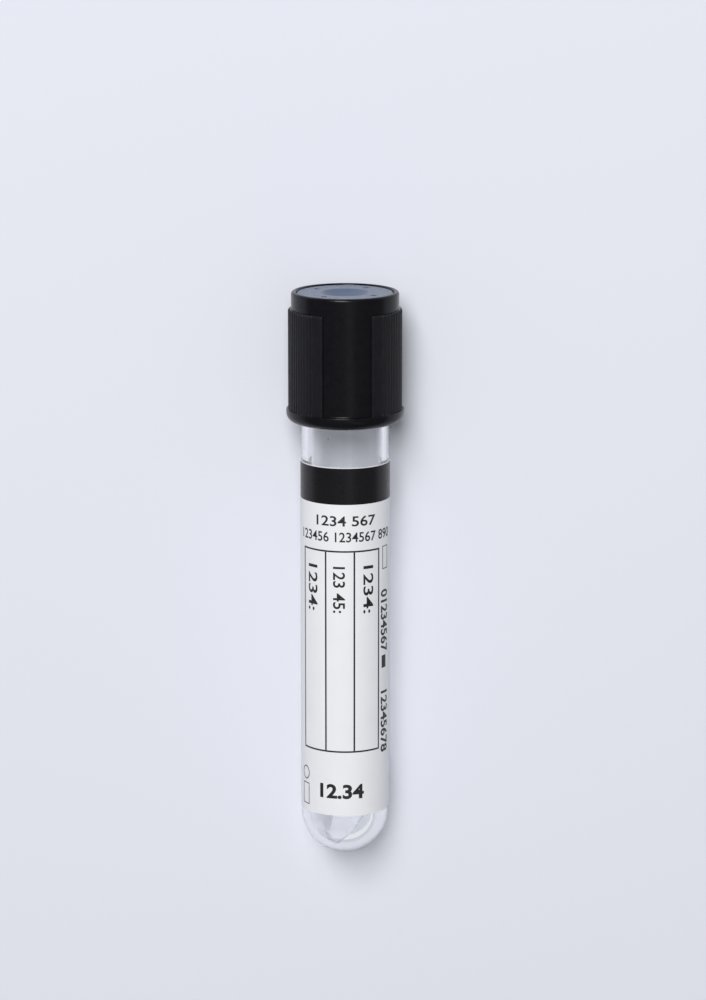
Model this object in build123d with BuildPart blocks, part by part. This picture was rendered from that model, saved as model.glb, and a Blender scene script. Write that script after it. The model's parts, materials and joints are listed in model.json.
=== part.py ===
"""Blood collection tube, 13 x 75 mm, with its label, liquid additive, rubber stopper and safety cap.

Units are millimetres. The tube lies on its side as it comes to rest: on its round end and on the
flange of its cap, with the cap towards +X and Z = 0 as the surface under it. The origin is the
centre of the foot of the bounding box. Distances along the tube are counted from the outside of
its round end, and angles around it from the top, turning towards -Y.
"""

import os
from math import asin, atan2, cos, degrees, hypot, sin

from build123d import *

# Tube, one clear moulding with a round end
tube_radius = 6.5
tube_wall = 1.05
tube_length = 75.0
rim_rounding = 0.3

# Label, wrapped round the tube with a bare strip left at the back
label_start = 7.35
label_thickness = 0.08
label_glue_gap = 0.01
label_middle_angle = 1.5
bare_strip_width = 12.0
bare_band_length = 5.75

# Liquid additive, held in the round end by its own surface tension
liquid_film = 0.02
surface_height = 0.0
surface_lean_to_cap = 0.53
surface_lean_to_top = 0.60
surface_lean_to_left = 0.60
liquid_reach = 30.0

# Rubber stopper: a ribbed plug in the bore and a head that seats on the rim
plug_length = 7.5
plug_clearance = 0.03
seal_rib_height = 0.28
seal_rib_width = 1.1
seal_rib_count = 3
seal_rib_rounding = 0.2
plug_lead_in = 0.8
head_height = 9.87
head_overhang = 0.55
head_edge_rounding = 0.25
bead_height = 0.3
bead_width = 1.5
bead_above_rim = 2.5
well_radius = 2.2
well_depth = 9.0
dish_radius = 3.5
dish_depth = 1.4
dish_edge_rounding = 0.6
dimple_radius = 0.45
dimple_depth = 0.3
dimple_inset = 1.9
dimple_count = 4
dimple_angle = 54.0

# Safety cap: a shell round the stopper's head, with two ribbed grips and a flange
cap_overlap = 9.1
cap_recess = 0.18
cap_fit = 0.05
skirt_clearance = 0.25
skirt_lead_in = 0.4
ring_wall = 0.77
ring_edge_rounding = 0.4
ring_inner_rounding = 0.3
grip_thickness = 0.46
grip_below_top = 2.55
grip_chamfer = 0.3
grip_angle = 128.2
grip_middle_angle = 92.6
groove_count = 25
groove_pitch_angle = 4.27
groove_radius = 0.17
flange_ledge = 0.29
flange_height = 1.9
flange_rounding = 1.3
flange_edge_rounding = 0.12

# Radii, from the bore outwards
bore_radius = tube_radius - tube_wall
seal_radius = bore_radius - plug_clearance
plug_radius = seal_radius - seal_rib_height
liquid_radius = bore_radius - liquid_film
label_bore = tube_radius + label_glue_gap
label_radius = label_bore + label_thickness
skirt_bore = tube_radius + skirt_clearance
head_radius = tube_radius + head_overhang
bead_radius = head_radius + bead_height
head_bore = head_radius + cap_fit
bead_groove = bead_radius + cap_fit
cap_radius = head_bore + ring_wall
grip_radius = cap_radius + grip_thickness
flange_radius = grip_radius + flange_ledge

# Stations along the tube, from its round end
cap_bottom = tube_length - cap_overlap
cap_shoulder = tube_length - cap_fit
flange_top = cap_bottom + flange_height
label_end = cap_bottom - bare_band_length
plug_bottom = tube_length - plug_length
head_top = tube_length + head_height
cap_top = head_top + cap_recess
grip_top = cap_top - grip_below_top
bead_bottom = tube_length + bead_above_rim
bead_top = bead_bottom + bead_width

# The rest: the round end and the flange's lower rounding both touch Z = 0, which sets the tilt
flange_reach = cap_bottom + flange_rounding - tube_radius
flange_arm = flange_radius - flange_rounding
tilt = atan2(flange_arm, flange_reach) - asin(
    (tube_radius - flange_rounding) / hypot(flange_reach, flange_arm)
)
along = Vector(cos(tilt), 0, sin(tilt))
upward = Vector(-sin(tilt), 0, cos(tilt))
left = Vector(0, 1, 0)
near_end = tube_radius * cos(tilt) - tube_radius
far_end = (
    (cap_top - ring_edge_rounding) * cos(tilt)
    + (cap_radius - ring_edge_rounding) * sin(tilt)
    + ring_edge_rounding
)
pole = Vector(-(near_end + far_end) / 2, 0, tube_radius - tube_radius * sin(tilt))
tube_axis = Axis(pole, along)

# Half-sections are drawn here: X is the distance from the axis and Y the distance along it
section = Plane(origin=pole, x_dir=upward, z_dir=left)


def station(distance):
    """Plane square to the tube, this far from its round end, with X to the top and Y to -Y."""
    return Plane(origin=pole + along * distance, x_dir=upward, z_dir=along)


# Tube: round end, straight wall and a rounded rim
with BuildPart() as tube:
    with BuildSketch(section):
        with BuildLine():
            CenterArc((0, tube_radius), tube_radius, -90, 90)
            Polyline(
                (tube_radius, tube_radius),
                (tube_radius, tube_length),
                (bore_radius, tube_length),
                (bore_radius, tube_radius),
            )
            CenterArc((0, tube_radius), bore_radius, -90, 90)
            Line((0, 0), (0, tube_wall))
        make_face()
    revolve(axis=tube_axis)
    rim = tube.faces().filter_by(GeomType.PLANE)
    fillet(rim.edges(), radius=rim_rounding)
tube.part.label = "tube"

# Label: an open sleeve, with a wide bare strip opposite the middle of the print
with BuildPart() as label:
    with BuildSketch(station(label_start)):
        Circle(label_radius)
        Circle(label_bore, mode=Mode.SUBTRACT)
        with PolarLocations(label_radius, 1, start_angle=label_middle_angle + 180):
            Rectangle(2 * label_radius, bare_strip_width, mode=Mode.SUBTRACT)
    extrude(amount=label_end - label_start)
label.part.label = "label"

# Liquid: the lower end of the bore's own shape, cut off by the slanted surface
surface_direction = (
    along * surface_lean_to_cap + upward * surface_lean_to_top + left * surface_lean_to_left
).normalized()
surface_centre = pole + along * tube_radius + surface_direction * surface_height
liquid_surface = Plane(origin=surface_centre, z_dir=surface_direction)
with BuildPart() as liquid:
    with BuildSketch(section):
        with BuildLine():
            CenterArc((0, tube_radius), liquid_radius, -90, 90)
            Polyline(
                (liquid_radius, tube_radius),
                (liquid_radius, liquid_reach),
                (0, liquid_reach),
                (0, tube_radius - liquid_radius),
            )
        make_face()
    revolve(axis=tube_axis)
    split(bisect_by=liquid_surface, keep=Keep.BOTTOM)
liquid.part.label = "liquid_additive"

# Stopper: head, bead and plug turned as one, then the seal ribs, the well and the dimples
dish_arc_radius = (dish_radius**2 + dish_depth**2) / (2 * dish_depth)
dish_arc_angle = degrees(asin(dish_radius / dish_arc_radius))
well_top = plug_bottom + well_depth
seal_rib_pitch = (plug_length - plug_lead_in) / seal_rib_count
seal_rib_stations = [
    tube_length - seal_rib_pitch * (number + 0.5) for number in range(seal_rib_count)
]
with BuildPart() as stopper:
    with BuildSketch(section) as stopper_profile:
        with BuildLine():
            Polyline(
                (0, head_top - dish_depth),
                (0, plug_bottom),
                (plug_radius - plug_lead_in / 2, plug_bottom),
                (plug_radius, plug_bottom + plug_lead_in),
                (plug_radius, tube_length),
                (head_radius, tube_length),
                (head_radius, bead_bottom),
                (bead_radius, bead_bottom + bead_height),
                (bead_radius, bead_top - bead_height),
                (head_radius, bead_top),
                (head_radius, head_top),
                (dish_radius, head_top),
            )
            CenterArc(
                (0, head_top - dish_depth + dish_arc_radius), dish_arc_radius, -90, dish_arc_angle
            )
        make_face()
        corners = stopper_profile.vertices()
        fillet(corners.sort_by_distance((dish_radius, head_top))[0], radius=dish_edge_rounding)
        fillet(corners.sort_by_distance((head_radius, head_top))[0], radius=head_edge_rounding)
    revolve(axis=tube_axis)
    with BuildSketch(section) as seal_rib_profile:
        with Locations(*[(plug_radius, distance) for distance in seal_rib_stations]):
            Rectangle(2 * seal_rib_height, seal_rib_width)
        fillet(seal_rib_profile.vertices(), radius=seal_rib_rounding)
    revolve(axis=tube_axis)
    with BuildSketch(section):
        with BuildLine():
            Polyline(
                (0, well_top),
                (0, plug_bottom),
                (well_radius, plug_bottom),
                (well_radius, well_top - well_radius),
            )
            CenterArc((0, well_top - well_radius), well_radius, 0, 90)
        make_face()
    revolve(axis=tube_axis, mode=Mode.SUBTRACT)
    with BuildSketch(station(head_top)):
        with PolarLocations(head_radius - dimple_inset, dimple_count, start_angle=dimple_angle):
            Circle(dimple_radius)
    extrude(amount=-dimple_depth, mode=Mode.SUBTRACT)
stopper.part.label = "rubber_stopper"

# Cap: the turned shell, then the two ribbed grips on its sides
groove_span = groove_pitch_angle * (groove_count - 1)
grip_root = cap_radius - ring_wall / 2
with BuildPart() as cap:
    with BuildSketch(section) as cap_profile:
        with BuildLine():
            Polyline(
                (skirt_bore + skirt_lead_in, cap_bottom),
                (flange_radius, cap_bottom),
                (flange_radius, flange_top),
                (cap_radius, flange_top),
                (cap_radius, cap_top),
                (head_bore, cap_top),
                (head_bore, bead_top + cap_fit),
                (bead_groove, bead_top + cap_fit - bead_height),
                (bead_groove, bead_bottom - cap_fit + bead_height),
                (head_bore, bead_bottom - cap_fit),
                (head_bore, cap_shoulder),
                (skirt_bore, cap_shoulder),
                (skirt_bore, cap_bottom + skirt_lead_in),
                close=True,
            )
        make_face()
        corners = cap_profile.vertices()
        fillet(corners.sort_by_distance((flange_radius, cap_bottom))[0], radius=flange_rounding)
        fillet(corners.sort_by_distance((flange_radius, flange_top))[0], radius=flange_edge_rounding)
        fillet(corners.sort_by_distance((cap_radius, cap_top))[0], radius=ring_edge_rounding)
        fillet(corners.sort_by_distance((head_bore, cap_top))[0], radius=ring_inner_rounding)
    revolve(axis=tube_axis)
    for middle in (grip_middle_angle, grip_middle_angle + 180):
        with BuildSketch(station(flange_top)):
            with BuildLine():
                outer = CenterArc((0, 0), grip_radius, middle - grip_angle / 2, grip_angle)
                inner = CenterArc((0, 0), grip_root, middle - grip_angle / 2, grip_angle)
                Line(outer @ 0, inner @ 0)
                Line(outer @ 1, inner @ 1)
            make_face()
            with PolarLocations(
                grip_radius, groove_count, middle - groove_span / 2, groove_span, endpoint=True
            ):
                Circle(groove_radius, mode=Mode.SUBTRACT)
        extrude(amount=grip_top - flange_top)
    with BuildSketch(section):
        with BuildLine():
            Polyline(
                (grip_radius - grip_chamfer, grip_top),
                (grip_radius + grip_chamfer, grip_top),
                (grip_radius + grip_chamfer, grip_top - 2 * grip_chamfer),
                close=True,
            )
        make_face()
    revolve(axis=tube_axis, mode=Mode.SUBTRACT)
cap.part.label = "safety_cap"

os.makedirs("parts", exist_ok=True)
export_step(tube.part, "parts/tube.step")
export_step(label.part, "parts/label.step")
export_step(liquid.part, "parts/liquid_additive.step")
export_step(stopper.part, "parts/rubber_stopper.step")
export_step(cap.part, "parts/safety_cap.step")
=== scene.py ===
"""Looks of a blood collection tube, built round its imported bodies.

Each piece is modelled in the tube's own space, in millimetres, and then laid in the model, in
metres. In the tube's space, Z runs from the outside of the round end to the cap, X points to the
top of the tube as it lies, and angles turn from X towards Y.
"""

import json
import logging
import math
from collections.abc import Callable, Iterable
from dataclasses import dataclass
from enum import Enum

import bpy
from mathutils import Matrix, Vector


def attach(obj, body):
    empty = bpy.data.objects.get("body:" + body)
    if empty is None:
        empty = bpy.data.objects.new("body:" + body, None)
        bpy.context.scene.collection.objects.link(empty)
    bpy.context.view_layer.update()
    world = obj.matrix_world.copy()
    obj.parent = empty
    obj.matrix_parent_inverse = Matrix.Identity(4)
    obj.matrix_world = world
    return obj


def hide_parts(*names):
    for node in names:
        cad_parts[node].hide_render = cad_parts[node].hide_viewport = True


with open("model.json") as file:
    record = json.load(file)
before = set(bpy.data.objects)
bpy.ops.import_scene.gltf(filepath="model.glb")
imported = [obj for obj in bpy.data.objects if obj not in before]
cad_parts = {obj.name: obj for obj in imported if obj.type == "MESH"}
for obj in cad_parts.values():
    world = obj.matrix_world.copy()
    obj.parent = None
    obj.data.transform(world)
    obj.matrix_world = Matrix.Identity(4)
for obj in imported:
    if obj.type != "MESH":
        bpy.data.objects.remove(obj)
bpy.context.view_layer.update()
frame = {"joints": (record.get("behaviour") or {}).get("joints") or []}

log = logging.getLogger("blood_collection_tube")

MM = 0.001
TINY = 1e-4
TUBE_LENGTH = 75.0
# A ring this far from the end of a straight wall keeps the wall's shading straight
GUARD = 0.1
Piece = bpy.types.Object
Socket = bpy.types.NodeSocket
Colour = tuple[float, float, float]
Place = tuple[float, float, float]
Point = tuple[float, float]


class Body(Enum):
    """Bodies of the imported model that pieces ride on."""

    TUBE = "tube"
    STOPPER = "stopper"
    CAP = "cap"


class Slot(Enum):
    """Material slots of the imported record."""

    CLEAR_PLASTIC = "clear_plastic"
    LABEL_FILM = "label_film"
    CLEAR_LIQUID = "clear_liquid"
    STOPPER_RUBBER = "stopper_rubber"
    BLACK_PLASTIC = "black_plastic"


class Reading(Enum):
    """Ways that a line of figures runs on the label, as its turn in degrees, clockwise."""

    ACROSS = 0.0
    DOWN = 90.0


# ---- The tube's own space, and the steps that every piece is modelled with ----


@dataclass(frozen=True)
class TubeSpace:
    """Where the tube's own space lies in the model."""

    pole: Vector
    along: Vector
    upward: Vector

    @classmethod
    def from_joints(cls, joints: list[dict]) -> "TubeSpace":
        """Find the tube's space from the joints of its closure.

        Args:
            joints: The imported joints, where the cap turns about the middle of the tube's rim.

        Returns:
            The space whose Z is the tube's axis.
        """
        twist = next(joint for joint in joints if joint["name"] == "cap_twist")
        along = Vector(twist["axis"]).normalized()
        pole = Vector(twist["pos_m"]) - along * TUBE_LENGTH * MM
        upward = (Vector((0, 0, 1)) - along * along.z).normalized()
        return cls(pole, along, upward)

    @property
    def sideways(self) -> Vector:
        """Direction of the tube space's Y."""
        return self.along.cross(self.upward)

    def matrix(self) -> Matrix:
        """Matrix that takes millimetres of the tube's space to metres of the model."""
        turn = Matrix((self.upward, self.sideways, self.along)).transposed()
        return Matrix.Translation(self.pole) @ turn.to_4x4() @ Matrix.Scale(MM, 4)

    def place(self, up: float, side: float, station: float) -> Vector:
        """Place in the model of a point of the tube's space."""
        return self.matrix() @ Vector((up, side, station))

    def direction(self, up: float, side: float, station: float) -> Vector:
        """Direction in the model of a direction of the tube's space."""
        way = self.upward * up + self.sideways * side + self.along * station
        return way.normalized()


def object_mode() -> None:
    """Close the mesh that is open for editing."""
    bpy.ops.object.mode_set(mode="OBJECT")


def deselect_all() -> None:
    """Leave no object selected and none in edit mode."""
    if bpy.context.object and bpy.context.object.mode != "OBJECT":
        object_mode()
    bpy.ops.object.select_all(action="DESELECT")


def make_active(piece: Piece) -> None:
    """Select one object alone.

    Args:
        piece: The object, in any mode.
    """
    deselect_all()
    piece.select_set(True)
    bpy.context.view_layer.objects.active = piece


def edit(piece: Piece) -> None:
    """Open one object's mesh for editing, with all of it selected.

    Args:
        piece: The object, in any mode.
    """
    make_active(piece)
    bpy.ops.object.mode_set(mode="EDIT")
    bpy.ops.mesh.select_mode(type="VERT")
    bpy.ops.mesh.select_all(action="SELECT")


def pick(piece: Piece, test: Callable[..., bool], faces: bool = False) -> None:
    """Open one object's mesh for editing, with only a part of it selected.

    Args:
        piece: The object, in any mode.
        test: Says for a point or face of the mesh whether it is taken.
        faces: Whether faces are picked, and not points.
    """
    edit(piece)
    bpy.ops.mesh.select_all(action="DESELECT")
    if faces:
        bpy.ops.mesh.select_mode(type="FACE")
    object_mode()
    for part in piece.data.polygons if faces else piece.data.vertices:
        part.select = test(part)
    bpy.ops.object.mode_set(mode="EDIT")


def settle() -> None:
    """Apply the place, turn and size of the selected object to its mesh."""
    bpy.ops.object.transform_apply(location=True, rotation=True, scale=True)


def extrude(way: Iterable[float]) -> None:
    """Extrude what is selected by a distance along each axis."""
    bpy.ops.mesh.extrude_region_move(TRANSFORM_OT_translate={"value": way})


def resize(growth: Iterable[float], centre: Iterable[float]) -> None:
    """Scale what is selected from a centre."""
    bpy.ops.transform.resize(value=growth, center_override=centre)


def clean(piece: Piece) -> None:
    """Merge points that share a place, and turn every face outwards.

    Args:
        piece: The object, in any mode.
    """
    edit(piece)
    bpy.ops.mesh.remove_doubles(threshold=TINY)
    bpy.ops.mesh.normals_make_consistent(inside=False)
    object_mode()


def apply_modifier(piece: Piece, kind: str, **settings: object) -> None:
    """Add one modifier to a piece and apply it.

    Args:
        piece: The object.
        kind: The modifier's type.
        settings: Values of the modifier's properties.
    """
    make_active(piece)
    modifier = piece.modifiers.new(kind.lower(), kind)
    for key, value in settings.items():
        setattr(modifier, key, value)
    bpy.ops.object.modifier_apply(modifier=modifier.name)


def join(pieces: list[Piece], name: str) -> Piece:
    """Join objects into one.

    Args:
        pieces: The objects.
        name: Name of the joined object.

    Returns:
        The joined object.
    """
    make_active(pieces[0])
    for piece in pieces:
        piece.select_set(True)
    bpy.ops.object.join()
    pieces[0].name = name
    return pieces[0]


def arc(centre: Point, radius: float, start: float, end: float, steps: int) -> list[Point]:
    """Points of an arc in a half-section, with both its ends.

    Args:
        centre: Distance from the axis and station of the arc's centre.
        radius: The arc's radius.
        start: Angle of the first point in degrees, from outwards towards the cap.
        end: Angle of the last point in degrees.
        steps: Number of equal steps between them.

    Returns:
        The points, each a distance from the axis and a station.
    """
    angles = [math.radians(start + (end - start) * step / steps) for step in range(steps + 1)]
    return [
        (centre[0] + radius * math.cos(angle), centre[1] + radius * math.sin(angle))
        for angle in angles
    ]


@dataclass
class TurnedShell:
    """A shell that grows ring by ring from a circle, as a piece is turned on a lathe."""

    name: str
    segments: int
    first_angle: float = 0.0

    def start(self, radius: float, station: float, pole: float | None = None) -> None:
        """Add the first ring.

        Args:
            radius: The ring's radius.
            station: The ring's station.
            pole: Station of the point on the axis that closes the shell, where it is closed.
        """
        deselect_all()
        bpy.ops.mesh.primitive_circle_add(
            vertices=self.segments,
            radius=radius,
            fill_type="NOTHING" if pole is None else "TRIFAN",
            location=(0, 0, station),
            rotation=(0, 0, math.radians(self.first_angle - 90)),
        )
        self.piece = bpy.context.object
        self.piece.name = self.name
        settle()
        if pole is None:
            edit(self.piece)
        else:
            pick(self.piece, lambda point: point.co.xy.length < TINY)
            bpy.ops.transform.translate(value=(0, 0, pole - station))
            bpy.ops.mesh.select_all(action="INVERT")
        self.radius, self.station = radius, station

    def grow(self, outline: Iterable[Point]) -> None:
        """Extrude the last ring from one point of an outline to the next.

        Args:
            outline: Distances from the axis and stations. A last point on the axis closes the
                shell there.
        """
        for radius, station in outline:
            extrude((0, 0, station - self.station))
            growth = radius / self.radius
            resize((growth, growth, 1), (0, 0, station))
            self.radius, self.station = radius, station

    def shape_ring(self, radius: float, angles: Callable[[float], bool]) -> None:
        """Move some points of the last ring in or out, and select the whole ring again.

        Args:
            radius: Their new distance from the axis, where all of them have the same one now.
            angles: Says for an angle in degrees from the first one whether a point is moved.
        """
        object_mode()
        points = self.piece.data.vertices
        ring = range(len(points) - self.segments, len(points))
        moved = set()
        for number in ring:
            place = points[number].co
            angle = math.degrees(math.atan2(place.y, place.x)) - self.first_angle
            if angles(angle % 360):
                moved.add(number)
        growth = radius / points[min(moved)].co.xy.length
        pick(self.piece, lambda point: point.index in moved)
        resize((growth, growth, 1), (0, 0, self.station))
        pick(self.piece, lambda point: point.index in ring)

    def finish(self) -> Piece:
        """Close the shell's mesh and give the finished object."""
        clean(self.piece)
        return self.piece


def turn_outline(name: str, segments: int, outline: list[Point]) -> Piece:
    """Turn a whole outline round the tube's axis.

    Args:
        name: Name of the new object.
        segments: Points round each ring.
        outline: Distances from the axis and stations. A first or last point on the axis closes the
            shell there, and an equal first and last point closes it on itself.

    Returns:
        The object, in the tube's space.
    """
    shell = TurnedShell(name, segments)
    if outline[0][0] == 0:
        shell.start(*outline[1], pole=outline[0][1])
        shell.grow(outline[2:])
    else:
        shell.start(*outline[0])
        shell.grow(outline[1:])
    return shell.finish()


def smooth(piece: Piece, angle: float) -> None:
    """Shade a piece smooth where its faces meet at less than an angle in degrees."""
    make_active(piece)
    bpy.ops.object.shade_smooth_by_angle(angle=math.radians(angle))


def hand_over(piece: Piece, space: TubeSpace, body: Body, slot: Slot, *nodes: str) -> None:
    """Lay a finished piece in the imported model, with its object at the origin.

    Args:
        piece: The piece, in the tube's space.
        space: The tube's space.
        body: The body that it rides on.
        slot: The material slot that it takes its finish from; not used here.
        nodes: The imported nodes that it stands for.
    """
    make_active(piece)
    piece.matrix_world = space.matrix()
    settle()
    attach(piece, body.value)
    if nodes:
        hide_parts(*nodes)
    size = ", ".join(f"{length / MM:.2f}" for length in piece.dimensions)
    faces = len(piece.data.polygons)
    log.info("%s rides on %s: %s mm, %d faces", piece.name, body.value, size, faces)


# ---- Finishes ----


class Nodes:
    """The node tree of one material or world, with short calls to fill it."""

    def __init__(self, owner: bpy.types.Material | bpy.types.World) -> None:
        """Start the owner's tree with nothing in it.

        Args:
            owner: The material or world.
        """
        owner.use_nodes = True
        self.tree = owner.node_tree
        self.tree.nodes.clear()

    def add(self, kind: str, links: tuple[Socket, ...] = (), **inputs: object) -> bpy.types.Node:
        """Add one node.

        Args:
            kind: The node's type, without its ShaderNode prefix.
            links: Other nodes' outputs to link to its sockets, from the first one on.
            inputs: Values of its sockets, or other nodes' outputs to link to them, with a double
                underscore for a space in the socket's name.

        Returns:
            The new node.
        """
        node = self.tree.nodes.new("ShaderNode" + kind)
        for value, socket in zip(links, node.inputs):
            self.tree.links.new(value, socket)
        for key, value in inputs.items():
            socket = node.inputs[key.replace("__", " ")]
            if isinstance(value, Socket):
                self.tree.links.new(value, socket)
            elif isinstance(value, tuple) and len(value) == 3 and socket.type == "RGBA":
                socket.default_value = (*value, 1.0)
            else:
                socket.default_value = value
        return node

    def noise(self, scale: float, detail: float, stretch: Place = (1, 1, 1)) -> Socket:
        """Noise on the piece's own coordinates.

        Args:
            scale: Number of its patches in a metre.
            detail: How many finer noises lie in it.
            stretch: Scale of the pattern along the model's axes.

        Returns:
            The noise's value, round 0.5.
        """
        place = self.add("TexCoord").outputs["Object"]
        mapped = self.add("Mapping", Vector=place, Scale=stretch).outputs[0]
        return self.add("TexNoise", Vector=mapped, Scale=scale, Detail=detail).outputs[0]

    def ranged(self, value: Socket, low: float, high: float) -> Socket:
        """Map a noise's middle range to another range.

        Args:
            value: The noise's value.
            low: What 0.3 becomes.
            high: What 0.7 becomes.

        Returns:
            The mapped value.
        """
        limits = {"From__Min": 0.3, "From__Max": 0.7, "To__Min": low, "To__Max": high}
        return self.add("MapRange", Value=value, **limits).outputs[0]

    def blended(self, value: Socket, first: Colour, second: Colour) -> Socket:
        """Colour that a value between 0 and 1 takes from one to another.

        Args:
            value: The value.
            first: Colour at 0.
            second: Colour at 1.

        Returns:
            The colour.
        """
        ramp = self.add("ValToRGB", Fac=value)
        ramp.color_ramp.elements[0].color = (*first, 1.0)
        ramp.color_ramp.elements[1].color = (*second, 1.0)
        return ramp.outputs[0]

    def bump(self, height: Socket, strength: float, distance: float) -> Socket:
        """Normal of a surface with small heights on it.

        Args:
            height: The height, from 0 to 1.
            strength: Share of the bump that is used.
            distance: The height of 1, in metres.

        Returns:
            The normal.
        """
        return self.add("Bump", Height=height, Strength=strength, Distance=distance).outputs[0]

    def shaded(self, shader: Socket, shade: Colour) -> Socket:
        """Let some of the lamps' light through a shader.

        Args:
            shader: The shader.
            shade: Colour of the light behind it, beside the light in front.

        Returns:
            The shader with its shade.
        """
        passed = self.add("BsdfTransparent", Color=shade).outputs[0]
        rays = self.add("LightPath").outputs["Is Shadow Ray"]
        return self.add("MixShader", (rays, shader, passed)).outputs[0]

    def show(self, shader: Socket) -> None:
        """Make a shader the surface of the tree's owner."""
        kind = "OutputWorld" if isinstance(self.tree.id_data, bpy.types.World) else "OutputMaterial"
        self.add(kind, Surface=shader)


@dataclass(frozen=True)
class Texture:
    """What sets one kind of surface apart: the scale and detail of each of its noises.

    The height is that of the grain, in metres.
    """

    cloud: Point
    gloss: Point
    grain: Point
    height: float


@dataclass(frozen=True)
class OpaqueFinish:
    """Plastic, label film, ink or rubber, with a faint cloud and a fine grain."""

    name: str
    texture: Texture
    colour: Colour
    clouded_colour: Colour
    roughness: Point
    grain: float
    specular: float = 0.5
    shade: Colour | None = None

    def material(self) -> bpy.types.Material:
        """Make the material.

        Returns:
            The material.
        """
        made = bpy.data.materials.new(self.name)
        nodes = Nodes(made)
        texture = self.texture
        cloud = nodes.ranged(nodes.noise(*texture.cloud), 0, 1)
        shader = nodes.add(
            "BsdfPrincipled",
            Base__Color=nodes.blended(cloud, self.colour, self.clouded_colour),
            Roughness=nodes.ranged(nodes.noise(*texture.gloss), *self.roughness),
            Specular__IOR__Level=self.specular,
            Normal=nodes.bump(nodes.noise(*texture.grain), self.grain, texture.height),
        ).outputs[0]
        nodes.show(shader if self.shade is None else nodes.shaded(shader, self.shade))
        return made


@dataclass(frozen=True)
class ClearMaterial:
    """Clear plastic or liquid, which lets lamps shine through it."""

    name: str
    colour: Colour
    ior: float
    roughness: Point
    waviness: float
    shade: Colour

    def material(self) -> bpy.types.Material:
        """Make the material.

        Returns:
            The material.
        """
        made = bpy.data.materials.new(self.name)
        nodes = Nodes(made)
        wave = nodes.noise(160, 2, (0.4, 1, 1))
        shader = nodes.add(
            "BsdfPrincipled",
            Base__Color=self.colour,
            Roughness=nodes.ranged(nodes.noise(700, 3), *self.roughness),
            IOR=self.ior,
            Transmission__Weight=1.0,
            Normal=nodes.bump(wave, self.waviness, 2e-5),
        )
        nodes.show(nodes.shaded(shader.outputs[0], self.shade))
        return made


def paint(piece: Piece, finish: OpaqueFinish, other: OpaqueFinish, test: Callable) -> None:
    """Give a piece one finish, and another on some of its faces.

    Args:
        piece: The piece.
        finish: Its first finish.
        other: Its second finish.
        test: Says for a face of the mesh whether it takes the second one.
    """
    piece.data.materials.append(finish.material())
    piece.data.materials.append(other.material())
    pick(piece, test, faces=True)
    piece.active_material_index = 1
    bpy.ops.object.material_slot_assign()
    object_mode()


# ---- Sub-assemblies ----


@dataclass
class ClearTube:
    """The clear tube: a straight wall, a round end and a rounded rim."""

    space: TubeSpace
    radius: float = 6.5
    wall: float = 1.05
    length: float = TUBE_LENGTH
    rim_rounding: float = 0.3
    segments: int = 256

    @property
    def bore(self) -> float:
        """Radius of the bore."""
        return self.radius - self.wall

    def build(self, finish: ClearMaterial) -> None:
        """Model the tube and hand it over.

        Args:
            finish: Its finish.
        """
        centre = (0.0, self.radius)
        inner_edge = (self.bore + self.rim_rounding, self.length - self.rim_rounding)
        outer_edge = (self.radius - self.rim_rounding, self.length - self.rim_rounding)
        outline = [
            (0.0, 0.0),
            *arc(centre, self.radius, -90, 0, 48)[1:],
            (self.radius, self.radius + GUARD),
            (self.radius, outer_edge[1] - GUARD),
            *arc(outer_edge, self.rim_rounding, 0, 90, 6),
            *arc(inner_edge, self.rim_rounding, 90, 180, 6),
            (self.bore, inner_edge[1] - GUARD),
            (self.bore, self.radius + GUARD),
            *arc(centre, self.bore, 0, -90, 44)[:-1],
            (0.0, self.wall),
        ]
        tube = turn_outline("clear_tube", self.segments, outline)
        smooth(tube, 40)
        tube.data.materials.append(finish.material())
        hand_over(tube, self.space, Body.TUBE, Slot.CLEAR_PLASTIC, "tube")


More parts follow.
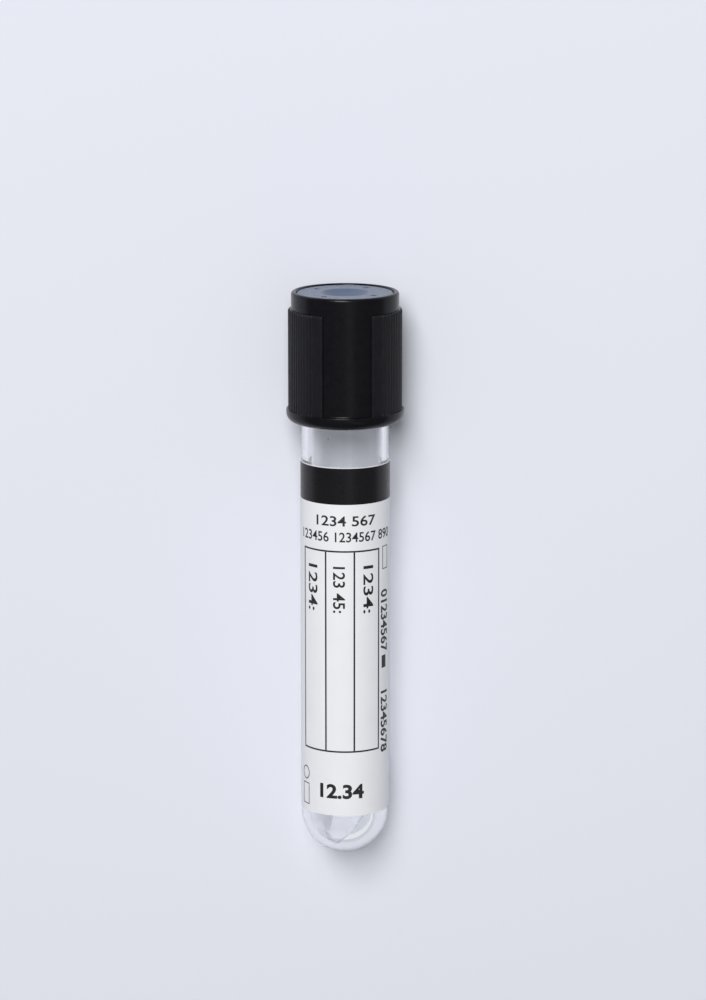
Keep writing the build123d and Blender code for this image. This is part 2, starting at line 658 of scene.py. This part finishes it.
@dataclass
class LiquidAdditive:
    """The liquid in the round end, and the drops that it left on the wall."""

    space: TubeSpace
    tube: ClearTube
    wetting: float = 0.03
    surface_lean: Place = (0.35, -0.78, 0.52)
    surface_height: float = -0.95
    climb: float = 1.2
    climb_reach: float = 0.6
    rings: tuple[float, ...] = (
        *(0.06, 0.13, 0.21, 0.3, 0.4, 0.52, 0.66, 0.82),
        *(1.0, 1.2, 1.45, 1.75, 2.1, 2.6, 3.2, 4.0),
    )
    drops: tuple[Place, ...] = (
        (-25.0, 64.2, 0.13),
        (-17.0, 63.4, 0.09),
        (-20.0, 62.9, 0.07),
        (-30.0, 63.0, 0.06),
        (14.0, 64.5, 0.05),
    )

    def build(self, finish: ClearMaterial) -> None:
        """Model the liquid and its drops, and hand them over.

        Args:
            finish: Their finish.
        """
        liquid = self.pool()
        smooth(liquid, 35)
        drops = [self.drop(*drop) for drop in self.drops]
        liquid = join([liquid, *drops], "liquid_additive_wet")
        liquid.data.materials.append(finish.material())
        hand_over(liquid, self.space, Body.TUBE, Slot.CLEAR_LIQUID, "liquid_additive")

    def pool(self) -> Piece:
        """Fill the round end up to the slanted surface, which climbs the wall all round.

        Returns:
            The liquid without its drops.
        """
        centre = (0.0, self.tube.radius)
        radius = self.tube.bore + self.wetting
        half_filled, filled = self.tube.radius + 12, self.tube.radius + 24
        outline = [
            (0.0, self.tube.radius - radius),
            *arc(centre, radius, -90, 0, 36)[1:],
            (radius, half_filled),
            (radius, filled),
            (0.0, filled),
        ]
        pool = turn_outline("liquid_pool", self.tube.segments, outline)
        lean = Vector(self.surface_lean).normalized()
        middle = Vector((0, 0, self.tube.radius)) + lean * (self.surface_height + self.climb)
        edit(pool)
        bpy.ops.mesh.bisect(
            plane_co=middle, plane_no=lean, use_fill=True, clear_outer=True, threshold=TINY
        )
        object_mode()
        pick(pool, lambda face: face.normal.dot(lean) > 1 - TINY, faces=True)
        sunk, share = 0.0, 1.0
        for reach in self.rings:
            depth = self.climb * (1 - math.exp(-reach / self.climb_reach))
            next_share = 1 - reach / self.tube.bore
            growth = next_share / share
            extrude(lean * (sunk - depth))
            resize((growth, growth, growth), middle - lean * depth)
            sunk, share = depth, next_share
        object_mode()
        clean(pool)
        return pool

    def drop(self, angle: float, station: float, size: float) -> Piece:
        """Model a drop on the bore's wall.

        Args:
            angle: Its angle in degrees.
            station: Its station.
            size: Its radius.

        Returns:
            The drop.
        """
        turn = math.radians(angle)
        flattening, sag = (0.45, 1, 1.15), (1.15, 1.1, 1)
        deselect_all()
        bpy.ops.mesh.primitive_uv_sphere_add(segments=20, ring_count=12, radius=size)
        drop = bpy.context.object
        edit(drop)
        bpy.ops.transform.resize(value=flattening)
        pick(drop, lambda point: point.co.z < -size * 0.3)
        resize(sag, (0, 0, -size))
        object_mode()
        drop.rotation_euler.z = turn
        drop.location = (self.tube.bore * math.cos(turn), self.tube.bore * math.sin(turn), station)
        settle()
        bpy.ops.object.shade_smooth()
        return drop


@dataclass
class Figures:
    """A line of plain figures on the label.

    Its middle is at an angle round the tube and a station along it, and its width and height are
    those of the line as it reads.
    """

    text: str
    angle: float
    station: float
    width: float
    height: float
    reading: Reading
    weight: float


@dataclass
class Frame:
    """A small printed outline on the label, or a filled shape where its line width is 0.

    Its middle is at an angle round the tube and a station along it.
    """

    angle: float
    station: float
    width: float
    height: float
    corners: int
    line_width: float


@dataclass
class Label:
    """The label: a flat film with its print, wrapped round the tube."""

    space: TubeSpace
    radius: float = 6.59
    thickness: float = 0.08
    bare_strip: float = 12.0
    middle_angle: float = 1.5
    start: float = 7.35
    end: float = 60.15
    band_start: float = 54.65
    band_end: float = 60.03
    box: Point = (17.25, 47.65)
    columns: tuple[float, ...] = (-63.0, -25.6, 11.8, 48.2)
    line_width: float = 0.25
    ink_height: float = 0.008
    figures: tuple[Figures, ...] = (
        Figures("1234 567", 1.3, 52.2, 9.3, 1.55, Reading.ACROSS, 0.03),
        Figures("123456 1234567 890", 1.9, 49.8, 16.1, 1.5, Reading.ACROSS, 0.025),
        Figures("1234:", -46, 41.9, 6.95, 1.85, Reading.DOWN, 0.03),
        Figures("123 45:", -7.9, 41.9, 6.95, 1.8, Reading.DOWN, 0.03),
        Figures("1234:", 31.2, 41.8, 7.15, 1.7, Reading.DOWN, 0.03),
        Figures("01234567", 60.8, 36.5, 9.5, 1.9, Reading.DOWN, 0.05),
        Figures("12345678", 60.8, 21.1, 9.4, 1.9, Reading.DOWN, 0.05),
        Figures("12.34", -4.8, 11.1, 6.8, 2.25, Reading.ACROSS, 0.07),
    )
    frames: tuple[Frame, ...] = (
        Frame(62.5, 46.1, 1.5, 3.5, 4, 0.13),
        Frame(59.5, 30.3, 1.1, 1.9, 4, 0.0),
        Frame(-61.5, 13.2, 1.8, 2.1, 32, 0.16),
        Frame(-61.5, 10.0, 1.7, 3.3, 4, 0.14),
    )
    step: float = 0.2

    @property
    def half_width(self) -> float:
        """Half the flat label's width."""
        gap = math.asin(self.bare_strip / 2 / self.radius)
        return self.radius * (math.pi - gap)

    def across(self, angle: float) -> float:
        """Place across the flat label of an angle round the tube."""
        return math.radians(angle - self.middle_angle) * self.radius

    def build(self, film: OpaqueFinish, band: OpaqueFinish, ink: OpaqueFinish) -> None:
        """Model the label and its print, and hand them over.

        Args:
            film: Finish of the bare film.
            band: Finish of the printed band at the cap end.
            ink: Finish of the lines and figures.
        """
        half = self.half_width
        sides, stations = (-half, half), (self.start, self.end)
        label = self.sheet("label_film", sides, stations, (-self.thickness, 0))
        edit(label)
        for station in (self.band_start, self.band_end):
            bpy.ops.mesh.select_all(action="SELECT")
            bpy.ops.mesh.bisect(plane_co=(0, 0, station), plane_no=(0, 0, 1))
        object_mode()
        self.wrap(label)
        paint(label, film, band, self.on_band)
        printed = [
            *self.ruled_box(),
            *map(self.frame, self.frames),
            *map(self.line_of_figures, self.figures),
        ]
        lines = join(printed, "label_print")
        lines.data.materials.append(ink.material())
        self.wrap(lines)
        for piece in (label, lines):
            smooth(piece, 30)
        hand_over(label, self.space, Body.TUBE, Slot.LABEL_FILM, "label")
        hand_over(lines, self.space, Body.TUBE, Slot.LABEL_FILM)

    def on_band(self, face: bpy.types.MeshPolygon) -> bool:
        """Say whether a face of the wrapped label is on the outside of its printed band."""
        outside = face.normal.dot(face.center) - face.normal.z * face.center.z > 0
        return self.band_start < face.center.z < self.band_end and outside

    def sheet(self, name: str, sides: Point, stations: Point, heights: Point) -> Piece:
        """Model a flat strip of film or ink, which faces -Y.

        Args:
            name: Name of the strip.
            sides: Its left and right edge.
            stations: Its lower and upper edge.
            heights: Heights of its back and its front above the label's face.

        Returns:
            The strip.
        """
        (left, right), (low, high), (below, above) = sides, stations, heights
        deselect_all()
        bpy.ops.mesh.primitive_plane_add(size=1, rotation=(math.pi / 2, 0, 0))
        strip = bpy.context.object
        strip.name = name
        strip.scale = (right - left, high - low, 1)
        strip.location = ((left + right) / 2, -below, (low + high) / 2)
        settle()
        edit(strip)
        extrude((0, below - above, 0))
        object_mode()
        clean(strip)
        return strip

    def ruled_box(self) -> list[Piece]:
        """Model the lines of the box for written notes.

        Returns:
            The lines along the tube, and those across it.
        """
        half = self.line_width / 2
        low, high = self.box
        stations = (low + half + 0.01, high - half - 0.01)
        ink = (-self.thickness / 4, self.ink_height)
        columns = [self.across(angle) for angle in self.columns]
        sides = (columns[0] - half, columns[-1] + half)
        uprights = [self.sheet("rule", (x - half, x + half), stations, ink) for x in columns]
        crossings = [self.sheet("rule", sides, (z - half, z + half), ink) for z in self.box]
        return uprights + crossings

    def frame(self, shape: Frame) -> Piece:
        """Model one small printed shape on the flat label.

        Args:
            shape: Where it is, how large and how many corners it has.

        Returns:
            The shape, with a thickness of its own.
        """
        deselect_all()
        depth, turn = self.thickness / 4, math.pi / shape.corners
        radius = 0.5 / math.cos(turn)
        bpy.ops.mesh.primitive_circle_add(
            vertices=shape.corners, radius=radius, fill_type="NGON", rotation=(0, 0, turn)
        )
        drawn = bpy.context.object
        drawn.name = "frame"
        settle()
        drawn.scale = (shape.width, shape.height, 1)
        settle()
        edit(drawn)
        bpy.ops.mesh.select_mode(type="FACE")
        bpy.ops.mesh.select_all(action="SELECT")
        if shape.line_width:
            bpy.ops.mesh.inset(thickness=shape.line_width)
            bpy.ops.mesh.delete(type="FACE")
            bpy.ops.mesh.select_all(action="SELECT")
        extrude((0, 0, self.ink_height + depth))
        object_mode()
        drawn.rotation_euler.x = math.pi / 2
        drawn.location = (self.across(shape.angle), depth, shape.station)
        settle()
        clean(drawn)
        return drawn

    def line_of_figures(self, line: Figures) -> Piece:
        """Model one line of figures on the flat label.

        Args:
            line: What it says, and where and how large it is.

        Returns:
            The line, with a thickness of its own.
        """
        deselect_all()
        bpy.ops.object.text_add()
        figures = bpy.context.object
        figures.data.body = line.text
        figures.data.size = 2
        figures.data.offset = line.weight
        figures.data.extrude = self.ink_height
        figures.data.resolution_u = 4
        bpy.ops.object.convert(target="MESH")
        bpy.ops.object.origin_set(type="ORIGIN_GEOMETRY", center="BOUNDS")
        size = figures.dimensions
        figures.scale = (line.width / size.x, line.height / size.y, 1)
        figures.location = (0, 0, 0)
        settle()
        figures.rotation_euler.x = math.pi / 2
        settle()
        figures.rotation_euler.y = math.radians(line.reading.value)
        figures.location = (self.across(line.angle), 0, line.station)
        settle()
        clean(figures)
        return figures

    def wrap(self, flat: Piece) -> None:
        """Cut a flat piece into narrow facets and bend it round the tube.

        Args:
            flat: The piece, with the label's face at Y = 0.
        """
        edit(flat)
        cuts = int(self.half_width / self.step)
        for number in range(-cuts, cuts + 1):
            bpy.ops.mesh.select_all(action="SELECT")
            bpy.ops.mesh.bisect(plane_co=(number * self.step, 0, 0), plane_no=(1, 0, 0))
        object_mode()
        apply_modifier(
            flat,
            "SIMPLE_DEFORM",
            deform_method="BEND",
            deform_axis="Z",
            angle=flat.dimensions.x / self.radius,
        )
        flat.location = (0, -self.radius, 0)
        settle()
        flat.rotation_euler.z = math.radians(90 + self.middle_angle)
        settle()
        clean(flat)


@dataclass
class Stopper:
    """The rubber stopper: a head with a dish and four dimples, and a ribbed plug under it."""

    space: TubeSpace
    rim: float = TUBE_LENGTH
    seal_radius: float = 5.42
    rib_height: float = 0.28
    rib_width: float = 1.1
    rib_count: int = 3
    plug_length: float = 7.5
    plug_lead_in: float = 0.8
    well_radius: float = 2.2
    well_depth: float = 9.0
    head_radius: float = 7.05
    head_height: float = 9.87
    head_rounding: float = 0.25
    bead_height: float = 0.3
    bead_start: float = 77.5
    bead_width: float = 1.5
    dish_radius: float = 3.5
    dish_depth: float = 1.4
    dish_rounding: float = 0.6
    dimple_radius: float = 0.45
    dimple_depth: float = 0.3
    dimple_circle: float = 5.15
    dimple_count: int = 4
    dimple_angle: float = 54.0
    segments: int = 192

    def build(self, finish: OpaqueFinish) -> None:
        """Model the stopper and hand it over.

        Args:
            finish: Its finish.
        """
        stopper = turn_outline("stopper", self.segments, self.outline())
        self.press_dimples(stopper)
        clean(stopper)
        smooth(stopper, 35)
        stopper.data.materials.clear()
        stopper.data.materials.append(finish.material())
        hand_over(stopper, self.space, Body.STOPPER, Slot.STOPPER_RUBBER, "rubber_stopper")

    def outline(self) -> list[Point]:
        """Draw the stopper's half-section.

        Returns:
            The points, from the middle of its dish round to the end of its well.
        """
        top = self.rim + self.head_height
        bowl = (self.dish_radius**2 + self.dish_depth**2) / (2 * self.dish_depth)
        bowl_centre = (0.0, top - self.dish_depth + bowl)
        # The dish's edge is rounded by an arc that touches both the bowl and the flat top
        edge_height = top - self.dish_rounding
        drop = bowl_centre[1] - edge_height
        reach = math.sqrt((bowl + self.dish_rounding) ** 2 - drop**2)
        touch = math.degrees(math.atan2(drop, -reach))
        # The bowl ends just short of the touching point, which the arc begins with
        bowl_end = (touch - 90) * 0.999
        head, rounding = self.head_radius, self.head_rounding
        bead, bead_end = self.bead_height, self.bead_start + self.bead_width
        plug_bottom = self.rim - self.plug_length
        plug_radius = self.seal_radius - self.rib_height
        lead_in, lead_start = self.plug_lead_in, plug_bottom + self.plug_lead_in
        well_top = plug_bottom + self.well_depth
        lip, corner = 0.15, 0.12
        points = [
            (0.0, top - self.dish_depth),
            *arc(bowl_centre, bowl, -90, -90 + bowl_end, 14)[1:],
            *arc((reach, edge_height), self.dish_rounding, touch, 90, 8),
            (reach + GUARD, top),
            (head - rounding - GUARD, top),
            *arc((head - rounding, top - rounding), rounding, 90, 0, 8),
            (head, bead_end),
            *arc((head, bead_end - bead), bead, 80, 0, 5),
            *arc((head, self.bead_start + bead), bead, 0, -80, 5),
            (head, self.bead_start),
            *arc((head - lip, self.rim + lip), lip, 0, -90, 4),
            (plug_radius + corner, self.rim),
            (plug_radius, self.rim - corner),
        ]
        pitch = (self.plug_length - lead_in) / self.rib_count
        for number in range(self.rib_count):
            middle = self.rim - pitch * (number + 0.5)
            points += self.rib(plug_radius, middle)
        return [
            *points,
            (plug_radius, lead_start),
            *arc((plug_radius - lead_in, lead_start), lead_in, -20, -90, 5),
            *arc((self.well_radius + lip, plug_bottom + lip), lip, 270, 180, 4),
            *arc((0.0, well_top - self.well_radius), self.well_radius, 0, 90, 10)[:-1],
            (0.0, well_top),
        ]

    def rib(self, radius: float, middle: float) -> list[Point]:
        """Draw one seal rib, from its cap side to its plug side.

        Args:
            radius: Radius of the plug under it.
            middle: Station of its middle.

        Returns:
            The rib's points.
        """
        rounding = self.rib_height * 0.7
        crest = radius + self.rib_height - rounding
        start, end = middle + self.rib_width / 2, middle - self.rib_width / 2
        return [
            (radius, start),
            *arc((crest, start - rounding), rounding, 75, 0, 4),
            *arc((crest, end + rounding), rounding, 0, -75, 4),
            (radius, end),
        ]

    def press_dimples(self, stopper: Piece) -> None:
        """Press the dimples into the flat top.

        Args:
            stopper: The turned stopper.
        """
        circle, top, edge = self.dimple_circle, self.rim + self.head_height, 0.12
        punches = []
        for number in range(self.dimple_count):
            turn = math.radians(self.dimple_angle + 360 / self.dimple_count * number)
            place = (circle * math.cos(turn), circle * math.sin(turn), top)
            deselect_all()
            bpy.ops.mesh.primitive_cylinder_add(
                vertices=32, radius=self.dimple_radius, depth=2 * self.dimple_depth, location=place
            )
            punches.append(bpy.context.object)
            settle()
            pick(punches[-1], lambda face: face.normal.z < -0.9, faces=True)
            bpy.ops.mesh.bevel(offset=edge, segments=3, affect="EDGES")
            object_mode()
        punch = join(punches, "dimple_punch")
        apply_modifier(stopper, "BOOLEAN", operation="DIFFERENCE", solver="EXACT", object=punch)
        bpy.data.objects.remove(punch)


@dataclass
class SafetyCap:
    """The black cap: a shell with two ribbed grips, a flange at its foot and an open top."""

    space: TubeSpace
    bottom: float = 65.9
    top: float = 85.05
    skirt_bore: float = 6.75
    skirt_lead_in: float = 0.4
    shoulder: float = 74.95
    head_bore: float = 7.10
    bead: Point = (77.45, 79.05)
    bead_depth: float = 0.3
    shell_radius: float = 7.87
    grip_radius: float = 8.33
    grip_top: float = 82.5
    grip_chamfer: float = 0.3
    grip_angle: float = 128.2
    grip_middle_angle: float = 92.6
    groove_count: int = 25
    groove_shape: tuple[float, ...] = (0.17, 0.15, 0.09, 0.02)
    side_shape: tuple[float, ...] = (0.16, 0.05, 0.012)
    flange_radius: float = 8.62
    flange_top: float = 67.8
    flange_rounding: float = 1.3
    flange_edge_rounding: float = 0.12
    ring_edge_rounding: float = 0.4
    ring_inner_rounding: float = 0.3
    columns_per_groove: int = 12
    grooves_in_turn: int = 84

    @property
    def segments(self) -> int:
        """Points round each ring, a whole number for each groove."""
        return self.columns_per_groove * self.grooves_in_turn

    def depth(self, angle: float) -> float | None:
        """Depth of the grips' shape under their outer face.

        Args:
            angle: Angle in degrees from the middle of a grip.

        Returns:
            The depth of the rounded sides and the grooves, and None beside the grips.
        """
        columns = angle / 360 * self.segments
        half_turn = self.segments / 2
        column = round(abs((columns + half_turn / 2) % half_turn - half_turn / 2))
        side = int(self.grip_angle / 2 / 360 * self.segments) - column
        if side < 0:
            return None
        if side < len(self.side_shape):
            return self.side_shape[side]
        pitch = self.columns_per_groove
        offset = abs((column + pitch // 2) % pitch - pitch // 2)
        in_panel = column <= (self.groove_count - 1) / 2 * pitch + len(self.groove_shape)
        if in_panel and offset < len(self.groove_shape):
            return self.groove_shape[offset]
        return 0.0

    def build(self, finish: OpaqueFinish, grip_finish: OpaqueFinish) -> None:
        """Model the cap and hand it over.

        Args:
            finish: Its finish.
            grip_finish: Finish of its grips: a grain from the mould, and a painted sheen in a
            black a little lighter than the shell's.
        """
        shell = TurnedShell("cap_shell", self.segments, self.grip_middle_angle)
        flange, flange_edge = self.flange_rounding, self.flange_edge_rounding
        ring, ring_inside = self.ring_edge_rounding, self.ring_inner_rounding
        lower = (self.flange_radius - flange, self.bottom + flange)
        edge = (self.flange_radius - flange_edge, self.flange_top - flange_edge)
        outer = (self.shell_radius - ring, self.top - ring)
        inner = (self.head_bore + ring_inside, self.top - ring_inside)
        bead_low, bead_high = self.bead
        groove = self.head_bore + self.bead_depth
        shell.start(self.skirt_bore + self.skirt_lead_in, self.bottom)
        shell.grow([*arc(lower, flange, -90, 0, 10), *arc(edge, flange_edge, 0, 90, 4)])
        self.grow_grips(shell)
        shell.grow(
            [
                (self.shell_radius, self.grip_top + GUARD),
                (self.shell_radius, outer[1] - GUARD),
                *arc(outer, ring, 0, 90, 8),
                *arc(inner, ring_inside, 90, 180, 8),
                (self.head_bore, bead_high),
                (groove, bead_high - self.bead_depth),
                (groove, bead_low + self.bead_depth),
                (self.head_bore, bead_low),
                (self.head_bore, self.shoulder),
                (self.skirt_bore, self.shoulder),
                (self.skirt_bore, self.bottom + self.skirt_lead_in),
                (self.skirt_bore + self.skirt_lead_in, self.bottom),
            ]
        )
        cap = shell.finish()
        smooth(cap, 32)
        paint(cap, finish, grip_finish, self.on_grip)
        hand_over(cap, self.space, Body.CAP, Slot.BLACK_PLASTIC, "safety_cap")

    def on_grip(self, face: bpy.types.MeshPolygon) -> bool:
        """Say whether a face of the cap is on a grip's outside."""
        raised = face.center.xy.length > self.shell_radius + 0.02
        return raised and self.flange_top + 0.08 < face.center.z < self.grip_top

    def grow_grips(self, shell: TurnedShell) -> None:
        """Grow the shell's side from the flange to above the grips, with the grips on it.

        Args:
            shell: The shell, grown to the flange's top.
        """
        fillet = 0.07
        for turn in (0, 45, 90):
            spread = fillet * (1 - math.sin(math.radians(turn)))
            rise = fillet * (1 - math.cos(math.radians(turn)))
            shell.grow([(self.shell_radius + spread, self.flange_top + rise)])
            self.shape_grips(shell, self.grip_radius + spread, 1)
        chamfer_start = self.grip_top - self.grip_chamfer
        for station in (self.flange_top + fillet + GUARD, chamfer_start - GUARD, chamfer_start):
            shell.grow([(self.shell_radius, station)])
        for turn in (22.5, 45, 67.5, 90):
            inset = self.grip_chamfer * (1 - math.cos(math.radians(turn)))
            rise = self.grip_chamfer * math.sin(math.radians(turn))
            shell.grow([(self.shell_radius, chamfer_start + rise)])
            self.shape_grips(shell, self.grip_radius - inset, math.cos(math.radians(turn)))
        shell.grow([(self.shell_radius, self.grip_top + 0.01)])
        self.shape_grips(shell, self.shell_radius, 0)

    def shape_grips(self, shell: TurnedShell, radius: float, share: float) -> None:
        """Move the last ring's points on the grips to the grips' outline.

        Args:
            shell: The shell.
            radius: Radius of the grips' outer face there.
            share: Share of the depth that the grooves and rounded sides have there.
        """
        for depth in sorted({*self.side_shape, *self.groove_shape, 0.0}):
            shell.shape_ring(radius - depth * share, lambda angle: self.depth(angle) == depth)


# ---- Studio ----


@dataclass(frozen=True)
class Softbox:
    """A soft rectangular lamp, placed round the tube and aimed at it."""

    name: str
    place: Place
    width: float
    height: float
    power: float
    colour: Colour

    def build(self, space: TubeSpace, target: Vector) -> None:
        """Hang the lamp.

        Args:
            space: The tube's space, in which its place is given in millimetres.
            target: The place in the model that it shines at.
        """
        light = bpy.data.lights.new(self.name, "AREA")
        light.shape = "RECTANGLE"
        light.size, light.size_y = self.width, self.height
        light.energy = self.power
        light.color = self.colour
        lamp = bpy.data.objects.new(self.name, light)
        lamp.location = space.place(*self.place)
        lamp.rotation_mode = "QUATERNION"
        lamp.rotation_quaternion = (target - lamp.location).to_track_quat("-Z", "Y")
        # The lamp itself isn't seen through clear pieces
        lamp.visible_transmission = False
        bpy.context.scene.collection.objects.link(lamp)
        log.info("%s hangs %.2f m from the tube", self.name, (target - lamp.location).length)


@dataclass(frozen=True)
class Studio:
    """Pale floor, soft light and camera.

    The surroundings light the tube at one strength and show through its clear parts at another. The
    lamps shine at a station on the tube's axis.
    """

    space: TubeSpace
    floor_colour: Colour = (0.77, 0.79, 0.87)
    world_colour: Colour = (0.94, 0.96, 1.0)
    world_strength: float = 0.2
    world_seen: float = 0.9
    softboxes: tuple[Softbox, ...] = (
        Softbox("key_softbox", (1110, -165, 700), 0.5, 0.87, 16.3, (1.0, 0.99, 0.98)),
        Softbox("top_strip", (900, 270, -200), 0.14, 0.9, 0.2, (1.0, 1.0, 1.0)),
    )
    target_station: float = 42
    camera_place: Place = (485, 1.15, 162.35)
    camera_dip: float = 12.6
    lens: float = 121.5
    sensor_width: float = 36

    def build(self) -> None:
        """Set up the whole studio."""
        self.lay_floor()
        self.light_world()
        target = self.space.place(0, 0, self.target_station)
        for softbox in self.softboxes:
            softbox.build(self.space, target)
        self.place_camera()
        bpy.context.scene.view_settings.view_transform = "Standard"

    def lay_floor(self) -> None:
        """Lay the floor that the tube rests on."""
        deselect_all()
        bpy.ops.mesh.primitive_plane_add(size=4)
        floor = bpy.context.object
        floor.name = "floor"
        made = bpy.data.materials.new("pale_floor")
        nodes = Nodes(made)
        cloud = nodes.ranged(nodes.noise(6, 2), 0, 1)
        light = tuple(min(1.0, channel * 1.01) for channel in self.floor_colour)
        shader = nodes.add(
            "BsdfPrincipled",
            Base__Color=nodes.blended(cloud, self.floor_colour, light),
            Roughness=0.9,
            Specular__IOR__Level=0.1,
        )
        nodes.show(shader.outputs[0])
        floor.data.materials.append(made)

    def light_world(self) -> None:
        """Fill the surroundings with a plain soft light.

        A ray that came through a clear part, and wasn't scattered before, meets the seen strength.
        """
        world = bpy.data.worlds.new("soft_surroundings")
        bpy.context.scene.world = world
        nodes = Nodes(world)
        light, seen = (
            nodes.add("Background", Color=self.world_colour, Strength=strength).outputs[0]
            for strength in (self.world_strength, self.world_seen)
        )
        ray = nodes.add("LightPath").outputs
        direct = nodes.add("Math", (ray["Diffuse Depth"],))
        direct.operation = "LESS_THAN"
        through = nodes.add("Math", (ray["Is Transmission Ray"], direct.outputs[0]))
        through.operation = "MULTIPLY"
        nodes.show(nodes.add("MixShader", (through.outputs[0], light, seen)).outputs[0])

    def place_camera(self) -> None:
        """Place the camera above the tube, tipped towards its round end."""
        dip = math.radians(self.camera_dip)
        ahead = self.space.direction(-math.cos(dip), 0, -math.sin(dip))
        above = self.space.direction(-math.sin(dip), 0, math.cos(dip))
        turn = Matrix((ahead.cross(above), above, -ahead)).transposed()
        data = bpy.data.cameras.new("camera")
        data.lens = self.lens
        data.sensor_width = self.sensor_width
        camera = bpy.data.objects.new("camera", data)
        place = self.space.place(*self.camera_place)
        camera.matrix_world = Matrix.Translation(place) @ turn.to_4x4()
        bpy.context.scene.collection.objects.link(camera)
        bpy.context.scene.camera = camera


def main() -> None:
    """Build the tube, its label, its liquid, its closure and the studio."""
    logging.basicConfig(level=logging.INFO, format="%(name)s: %(message)s")
    space = TubeSpace.from_joints(frame["joints"])
    clear = ClearMaterial(
        "clear_plastic", (0.97, 0.98, 0.985), 1.57, (0.02, 0.05), 0.15, (0.78, 0.775, 0.78)
    )
    wet = ClearMaterial(
        "clear_liquid", (0.975, 0.985, 0.99), 1.335, (0.0, 0.01), 0.0, (0.12, 0.12, 0.13)
    )
    printed = Texture((260, 3), (1500, 4), (9000, 4), 3e-6)
    moulded = Texture((900, 4), (2200, 3), (14000, 3), 4e-6)
    rubbery = Texture((420, 5), (1300, 4), (5200, 4), 6e-6)
    opaque = (0, 0, 0)
    white = (0.86, 0.87, 0.9), (0.885, 0.895, 0.92)
    glossy_black = (0.006, 0.005, 0.007), (0.008, 0.007, 0.009)
    matt_black = (0.008, 0.008, 0.01), (0.016, 0.016, 0.018)
    bluish = (0.085, 0.12, 0.19), (0.105, 0.14, 0.215)
    dark = (0.004, 0.004, 0.006), (0.006, 0.006, 0.008)
    # The grips' black is a little lighter than the shell's: a painted sheen on the grained grips.
    grip_black_with_sheen = (0.007, 0.007, 0.01), (0.01, 0.01, 0.013)
    film = OpaqueFinish("label_film", printed, *white, (0.38, 0.5), 0.25, shade=(0.86, 0.86, 0.87))
    band = OpaqueFinish("band_ink", printed, *glossy_black, (0.24, 0.34), 0.2, 0.3, opaque)
    ink = OpaqueFinish("black_ink", printed, *matt_black, (0.45, 0.6), 0.2, shade=opaque)
    rubber = OpaqueFinish("stopper_rubber", rubbery, *bluish, (0.28, 0.4), 0.25)
    black = OpaqueFinish("black_plastic", moulded, *dark, (0.2, 0.28), 0.15, 0.2)
    grip = OpaqueFinish("grip_plastic", moulded, *grip_black_with_sheen, (0.4, 0.5), 0.4, 0.2)

    tube = ClearTube(space)
    tube.build(clear)
    LiquidAdditive(space, tube).build(wet)
    Label(space).build(film, band, ink)
    Stopper(space).build(rubber)
    SafetyCap(space).build(black, grip)
    Studio(space).build()


if __name__ == "__main__":
    main()
